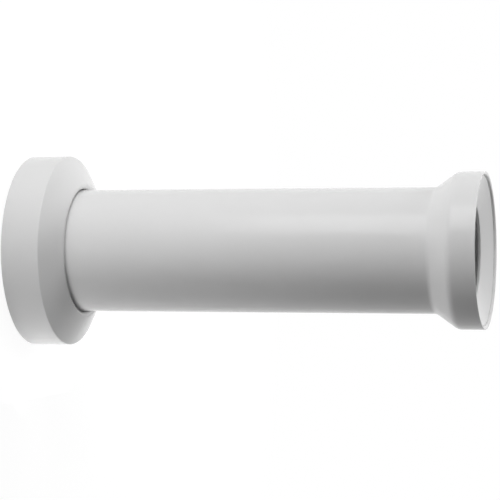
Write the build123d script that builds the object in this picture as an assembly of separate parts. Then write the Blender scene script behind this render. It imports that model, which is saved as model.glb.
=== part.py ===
from build123d import *
from math import cos, radians, tan
import os

# Straight toilet pan connector in millimetres: a soil pipe with a belled socket for the pan,
# a twin-lip rubber seal inside the socket, and a loose wall rosette that slides on the pipe.
# The origin is the centre of the wall end, and +Z runs along the pipe towards the pan.

# Pipe
pipe_d = 110.0
pipe_wall = 3.0
overall_length = 413.5
spigot_chamfer_length = 6.0
spigot_chamfer_angle = 15.0

# Belled socket
socket_swell = 13.3             # how far the socket stands out from the pipe, per side
socket_wall = 3.0
socket_length = 23.0            # from the mouth to the corner where the flare would end
flare_angle = 35.2              # slope of the flare against the axis
flare_root_radius = 7.5
flare_shoulder_radius = 10.0
mouth_edge_radius = 0.4
mouth_lead_in_radius = 2.0      # inner edge, where the pan's outlet enters and below which the seal starts

# Groove in the socket, and the rib of the seal that snaps into it
groove_width = 5.0
groove_depth = 0.8

# Pan seal
seal_sleeve_wall = 3.0
front_lip_reach = 23.3          # from the socket wall to the edge of the hole
front_lip_angle = 20.3          # slope of the lip against the mouth plane
front_lip_thickness = 2.6
inner_lip_reach = 18.3
inner_lip_angle = 30.0
inner_lip_root = 5.0            # thickness along the axis where the lip leaves the sleeve
inner_lip_tip = 2.4
lip_edge_radius = 0.7
lip_root_radius = 1.5

# Wall rosette
rosette_d = 171.5
rosette_wall = 2.2
rosette_rim_height = 34.4       # from the wall to the corner between rim and cone
rosette_cone_angle = 29.5       # slope of the cone against the wall
rosette_rim_radius = 1.2
rosette_lip_radius = 3.5
rosette_clearance = 0.9         # between the rosette's bore and the pipe, per side
rosette_collar_length = 10.0    # from the cone's front corner back along the bore
rosette_edge_radius = 0.4

# Radii and heights that follow from the sizes above
pipe_r = pipe_d / 2
pipe_bore_r = pipe_r - pipe_wall
socket_r = pipe_r + socket_swell
socket_bore_r = socket_r - socket_wall
flare_half_turn = tan(radians(flare_angle / 2))
shoulder_z = overall_length - socket_length
root_z = shoulder_z - socket_swell / tan(radians(flare_angle))
inner_shoulder_z = shoulder_z + socket_wall * flare_half_turn
inner_root_z = root_z + pipe_wall * flare_half_turn
inner_shoulder_radius = flare_shoulder_radius - socket_wall
inner_root_radius = flare_root_radius + pipe_wall

# The seal fills the straight stretch of the socket, from the lead-in to the start of the shoulder
seal_top_z = overall_length - mouth_lead_in_radius
seal_foot_z = inner_shoulder_z + inner_shoulder_radius * flare_half_turn
groove_mid_z = (seal_top_z + seal_foot_z) / 2
groove_top_z = groove_mid_z + groove_width / 2
groove_foot_z = groove_mid_z - groove_width / 2
groove_r = socket_bore_r + groove_depth


def turned(corners):
    """Revolve a closed section about Z. Each corner is (radius, height, rounding), 0 for a sharp one."""
    points = [(r, z) for r, z, rounding in corners]
    roundings = [rounding for r, z, rounding in corners]
    with BuildPart() as ring:
        with BuildSketch(Plane.XZ):
            with BuildLine():
                FilletPolyline(*points, radius=roundings, close=True)
            make_face()
        revolve(axis=Axis.Z)
    return ring.part


def make_connector_pipe():
    """The moulded pipe: chamfered spigot, even wall, flare and socket with the seal's groove."""
    chamfer_depth = spigot_chamfer_length * tan(radians(spigot_chamfer_angle))
    return turned([
        (pipe_bore_r, 0, 0),
        (pipe_r - chamfer_depth, 0, 0),
        (pipe_r, spigot_chamfer_length, 0),
        (pipe_r, root_z, flare_root_radius),
        (socket_r, shoulder_z, flare_shoulder_radius),
        (socket_r, overall_length, mouth_edge_radius),
        (socket_bore_r, overall_length, mouth_lead_in_radius),
        (socket_bore_r, groove_top_z, 0),
        (groove_r, groove_top_z, 0),
        (groove_r, groove_foot_z, 0),
        (socket_bore_r, groove_foot_z, 0),
        (socket_bore_r, inner_shoulder_z, inner_shoulder_radius),
        (pipe_bore_r, inner_root_z, inner_root_radius),
    ])


def make_pan_seal():
    """The rubber ring: a sleeve with a snap rib, a funnel-shaped front lip and a shorter inner lip."""
    sleeve_r = socket_bore_r - seal_sleeve_wall
    front_slope = tan(radians(front_lip_angle))
    front_drop = front_lip_thickness / cos(radians(front_lip_angle))
    front_hole_r = socket_bore_r - front_lip_reach
    front_tip_z = seal_top_z - front_lip_reach * front_slope
    front_root_z = seal_top_z - seal_sleeve_wall * front_slope - front_drop
    inner_slope = tan(radians(inner_lip_angle))
    inner_hole_r = socket_bore_r - inner_lip_reach
    inner_root_top_z = seal_foot_z + inner_lip_root
    inner_tip_z = inner_root_top_z - (sleeve_r - inner_hole_r) * inner_slope
    return turned([
        (socket_bore_r, seal_top_z, lip_edge_radius),
        (front_hole_r, front_tip_z, lip_edge_radius),
        (front_hole_r, front_tip_z - front_drop, lip_edge_radius),
        (sleeve_r, front_root_z, lip_root_radius),
        (sleeve_r, inner_root_top_z, lip_root_radius),
        (inner_hole_r, inner_tip_z, lip_edge_radius),
        (inner_hole_r, inner_tip_z - inner_lip_tip, lip_edge_radius),
        (sleeve_r, seal_foot_z, 0),
        (socket_bore_r, seal_foot_z, 0),
        (socket_bore_r, groove_foot_z, 0),
        (groove_r, groove_foot_z, 0),
        (groove_r, groove_top_z, 0),
        (socket_bore_r, groove_top_z, 0),
    ])


def make_wall_rosette():
    """The thin cover ring, open to the wall: rim, sloping front and a lip that turns in along the pipe."""
    rim_r = rosette_d / 2
    rim_inner_r = rim_r - rosette_wall
    bore_r = pipe_r + rosette_clearance
    collar_r = bore_r + rosette_wall
    cone_slope = tan(radians(rosette_cone_angle))
    cone_drop = rosette_wall / cos(radians(rosette_cone_angle))
    front_z = rosette_rim_height + (rim_r - bore_r) * cone_slope
    collar_foot_z = front_z - rosette_collar_length
    rim_inner_z = rosette_rim_height + (rim_r - rim_inner_r) * cone_slope - cone_drop
    collar_inner_z = rosette_rim_height + (rim_r - collar_r) * cone_slope - cone_drop
    return turned([
        (rim_r, 0, rosette_edge_radius),
        (rim_r, rosette_rim_height, rosette_rim_radius),
        (bore_r, front_z, rosette_lip_radius),
        (bore_r, collar_foot_z, rosette_edge_radius),
        (collar_r, collar_foot_z, rosette_edge_radius),
        (collar_r, collar_inner_z, rosette_lip_radius - rosette_wall),
        (rim_inner_r, rim_inner_z, rosette_edge_radius),
        (rim_inner_r, 0, rosette_edge_radius),
    ])


nodes = {
    "connector_pipe": make_connector_pipe(),
    "pan_seal": make_pan_seal(),
    "wall_rosette": make_wall_rosette(),
}

os.makedirs("parts", exist_ok=True)
for name, solid in nodes.items():
    solid.label = name
    export_step(solid, f"parts/{name}.step")
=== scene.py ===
import math

import bpy
from mathutils import Matrix, Vector

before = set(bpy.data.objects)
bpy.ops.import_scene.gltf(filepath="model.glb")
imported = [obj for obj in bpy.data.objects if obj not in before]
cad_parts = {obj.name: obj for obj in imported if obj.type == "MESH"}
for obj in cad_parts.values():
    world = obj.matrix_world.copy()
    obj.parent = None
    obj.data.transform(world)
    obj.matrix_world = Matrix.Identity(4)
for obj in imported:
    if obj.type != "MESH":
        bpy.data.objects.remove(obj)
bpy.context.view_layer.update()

# A straight white pan connector that stands on its wall end, seen from the side by a camera
# that lies on its side, so that the pipe runs across the picture from left to right:
# -X is up in the picture, +Z is to the right and -Y is towards the camera.
# Lengths are in metres and angles in degrees.

# Camera
camera_pitch = 15.05            # how far the camera looks down on the floor
camera_distance = 1.70192       # from the point that it is aimed at
camera_aim_z = 0.20283          # height of that point on the pipe's axis
camera_rise = 0.00045           # how far the camera and its aim stand above the axis in the picture
camera_lens_mm = 137.61
camera_sensor_mm = 36.0

# Floor
floor_half = 6.0                # half of its side
floor_albedo = 0.80
floor_lit = 0.58                # light on the open floor near the object, which is shown as plain white
floor_shade = 0.12              # share of its own light and shade that the floor shows near the object
shade_near = 0.25               # that share fades to none between these distances from the pipe's axis
shade_far = 0.90
pipe_foot_radius = 0.0527       # middle of the pipe's wall, inside which the floor is shown as it is lit

# Texture of plastic and rubber
clouds_per_metre = 14.0
clouds_detail = 3.0
gloss_patches_per_metre = 25.0
gloss_detail = 2.0
ripple_detail = 2.0
noise_span = (0.3, 0.7)         # most of a noise lies between these values


def new_material(name):
    """A node material, with its tree and its shader."""
    material = bpy.data.materials.new(name)
    material.use_nodes = True
    tree = material.node_tree
    return material, tree, tree.nodes["Principled BSDF"]


def feed(tree, value, target):
    """Links a value to an input if it is a socket, and sets it there if it is a number."""
    if isinstance(value, bpy.types.NodeSocket):
        tree.links.new(value, target)
    else:
        target.default_value = value


def combined(tree, operation, first, second):
    """What a Math node makes of two values."""
    node = tree.nodes.new("ShaderNodeMath")
    node.operation = operation
    feed(tree, first, node.inputs[0])
    feed(tree, second, node.inputs[1])
    return node.outputs["Value"]


def ranged(tree, value, source, target):
    """Maps a value from one range to another, each given by its two ends."""
    node = tree.nodes.new("ShaderNodeMapRange")
    feed(tree, value, node.inputs["Value"])
    for name, end in zip(("From Min", "From Max", "To Min", "To Max"), source + target):
        feed(tree, end, node.inputs[name])
    return node.outputs["Result"]


def noise(tree, place, per_metre, detail):
    """A noise with so many features a metre."""
    node = tree.nodes.new("ShaderNodeTexNoise")
    node.inputs["Scale"].default_value = per_metre
    node.inputs["Detail"].default_value = detail
    tree.links.new(place, node.inputs["Vector"])
    return node.outputs["Fac"]


def grey(level):
    """A colour without tint."""
    return (level, level, level, 1.0)


def moulded(name, white, tone_spread, roughness, ripple_depth, ripples_per_metre, ior):
    """White moulded material: faint clouds of tone, uneven gloss and a shallow ripple of the surface."""
    material, tree, shader = new_material(name)
    shader.inputs["IOR"].default_value = ior
    place = tree.nodes.new("ShaderNodeTexCoord").outputs["Object"]

    clouds = noise(tree, place, clouds_per_metre, clouds_detail)
    tone = tree.nodes.new("ShaderNodeMix")
    tone.data_type = "RGBA"
    tone.inputs["A"].default_value = grey(white - tone_spread)
    tone.inputs["B"].default_value = grey(white + tone_spread)
    tree.links.new(clouds, tone.inputs["Factor"])
    tree.links.new(tone.outputs["Result"], shader.inputs["Base Color"])

    gloss = noise(tree, place, gloss_patches_per_metre, gloss_detail)
    tree.links.new(ranged(tree, gloss, noise_span, roughness), shader.inputs["Roughness"])

    ripple = noise(tree, place, ripples_per_metre, ripple_detail)
    bump = tree.nodes.new("ShaderNodeBump")
    bump.inputs["Strength"].default_value = 1.0
    bump.inputs["Distance"].default_value = ripple_depth
    tree.links.new(ripple, bump.inputs["Height"])
    tree.links.new(bump.outputs["Normal"], shader.inputs["Normal"])
    return material


def pipe_plastic():
    """Soft-gloss plastic of the pipe and its socket."""
    return moulded(
        "pipe_plastic_look", white=0.80, tone_spread=0.008, roughness=(0.19, 0.25),
        ripple_depth=0.000003, ripples_per_metre=900.0, ior=1.49)


def rosette_plastic():
    """Soft-gloss plastic of the cover ring, a little less smooth."""
    return moulded(
        "rosette_plastic_look", white=0.80, tone_spread=0.008, roughness=(0.20, 0.26),
        ripple_depth=0.000004, ripples_per_metre=900.0, ior=1.49)


def seal_rubber():
    """Matt white rubber."""
    return moulded(
        "seal_rubber_look", white=0.89, tone_spread=0.012, roughness=(0.62, 0.75),
        ripple_depth=0.00001, ripples_per_metre=700.0, ior=1.45)


def paint(node, material):
    """Gives a CAD node its finish."""
    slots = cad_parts[node].data.materials
    slots.clear()
    slots.append(material)


def seen_rays(tree):
    """1 for the rays that show a surface, directly, in gloss or through glass, and 0 for the others."""
    rays = tree.nodes.new("ShaderNodeLightPath").outputs
    direct_or_gloss = combined(tree, "MAXIMUM", rays["Is Camera Ray"], rays["Is Glossy Ray"])
    return combined(tree, "MAXIMUM", direct_or_gloss, rays["Is Transmission Ray"])


def floor_finish():
    """Pale floor that throws light back on the object, and that is seen as white with a faint shadow."""
    material, tree, shader = new_material("floor_white")
    material.cycles.emission_sampling = "NONE"
    tree.nodes.remove(shader)

    place = tree.nodes.new("ShaderNodeTexCoord").outputs["Object"]
    length = tree.nodes.new("ShaderNodeVectorMath")
    length.operation = "LENGTH"
    tree.links.new(place, length.inputs[0])
    distance = length.outputs["Value"]

    outside_pipe = combined(tree, "GREATER_THAN", distance, pipe_foot_radius)
    seen = combined(tree, "MINIMUM", seen_rays(tree), outside_pipe)
    shade = ranged(tree, distance, (shade_near, shade_far), (floor_shade, 0.0))
    white = combined(tree, "SUBTRACT", 1.0, shade)
    faint_albedo = combined(tree, "DIVIDE", shade, floor_lit)

    diffuse = tree.nodes.new("ShaderNodeBsdfDiffuse")
    albedo = ranged(tree, seen, (0.0, 1.0), (floor_albedo, faint_albedo))
    tree.links.new(albedo, diffuse.inputs["Color"])
    glow = tree.nodes.new("ShaderNodeEmission")
    tree.links.new(combined(tree, "MULTIPLY", seen, white), glow.inputs["Strength"])
    both = tree.nodes.new("ShaderNodeAddShader")
    tree.links.new(diffuse.outputs["BSDF"], both.inputs[0])
    tree.links.new(glow.outputs["Emission"], both.inputs[1])
    tree.links.new(both.outputs["Shader"], tree.nodes["Material Output"].inputs["Surface"])
    return material


def add_floor():
    """The floor under the part."""
    mesh = bpy.data.meshes.new("floor")
    corners = [(-floor_half, -floor_half, 0), (floor_half, -floor_half, 0),
               (floor_half, floor_half, 0), (-floor_half, floor_half, 0)]
    mesh.from_pydata(corners, [], [(0, 1, 2, 3)])
    mesh.materials.append(floor_finish())
    floor = bpy.data.objects.new("floor", mesh)
    bpy.context.scene.collection.objects.link(floor)


def add_camera():
    """A camera that looks down on the floor by its pitch, rolled so that the pipe's +Z points right."""
    pitch = math.radians(camera_pitch)
    right = Vector((0, math.sin(pitch), math.cos(pitch)))
    up = Vector((-1, 0, 0))
    back = right.cross(up)
    place = Vector((0, 0, camera_aim_z)) + up * camera_rise + back * camera_distance
    data = bpy.data.cameras.new("camera")
    data.sensor_width = camera_sensor_mm
    data.lens = camera_lens_mm
    camera = bpy.data.objects.new("camera", data)
    camera.matrix_world = Matrix.Translation(place) @ Matrix((right, up, back)).transposed().to_4x4()
    bpy.context.scene.collection.objects.link(camera)
    bpy.context.scene.camera = camera


def add_world():
    """White surroundings that are seen, directly and in gloss, and that cast no light of their own."""
    world = bpy.data.worlds.new("world")
    world.use_nodes = True
    world.cycles.sampling_method = "NONE"
    tree = world.node_tree
    background = tree.nodes["Background"]
    background.inputs["Color"].default_value = grey(1.0)
    tree.links.new(seen_rays(tree), background.inputs["Strength"])
    bpy.context.scene.world = world


def add_lamp(name, place, aim, size, watts, mirrored=False):
    """A soft rectangular lamp that faces a point. It shows in gloss only if it is mirrored."""
    data = bpy.data.lights.new(name, "AREA")
    data.shape = "RECTANGLE"
    data.size = size[0]
    data.size_y = size[1]
    data.energy = watts
    lamp = bpy.data.objects.new(name, data)
    turn = (Vector(place) - Vector(aim)).to_track_quat("Z", "Y")
    lamp.matrix_world = Matrix.Translation(Vector(place)) @ turn.to_matrix().to_4x4()
    lamp.visible_camera = False
    lamp.visible_glossy = mirrored
    bpy.context.scene.collection.objects.link(lamp)


def add_lamps():
    """Soft light from above and from behind, and small lamps for the flare, the mouth and the rosette.

    Above, below, front and back are as the picture shows the part.
    """
    middle = (0, 0, 0.2)
    upper = (0, 0, 0.25)
    mouth = (0, 0, 0.38)
    foot = (0, 0, 0.05)
    rim = (0, 0, 0.018)
    over_floor_back = (0.30, 0.12, 1.0)
    add_lamp("key", (-2.0, -1.4, 0.5), middle, size=(1.6, 1.6), watts=27.4)
    add_lamp("panel", (-0.557, -0.502, 0.25), upper, size=(0.48, 0.48), watts=1.40, mirrored=True)
    add_lamp("back", (0.0, 1.4, 1.0), middle, size=(2.0, 0.6), watts=16.1)
    add_lamp("floor_back", (0.30, 0.12, 0.012), over_floor_back, size=(0.12, 0.12), watts=0.40)
    add_lamp("mouth_back", (-0.25, 0.3, 1.1), mouth, size=(0.2, 0.2), watts=2.08)
    add_lamp("mouth_top", (-0.35, 0.0, 1.1), mouth, size=(0.2, 0.2), watts=1.32)
    add_lamp("low_front", (0.0, -0.5, 0.02), foot, size=(0.4, 0.03), watts=0.244)
    add_lamp("low_below", (0.45, 0.0, 0.06), foot, size=(0.35, 0.1), watts=0.149)
    add_lamp("rim_below", (0.136, 0.0, 0.013), rim, size=(0.15, 0.02), watts=0.0193)
    add_lamp("rim_front", (0.11, -0.09, 0.013), rim, size=(0.12, 0.02), watts=0.0070)


paint("connector_pipe", pipe_plastic())
paint("pan_seal", seal_rubber())
paint("wall_rosette", rosette_plastic())

add_floor()
add_camera()
add_world()
add_lamps()
bpy.context.scene.view_settings.view_transform = "Standard"
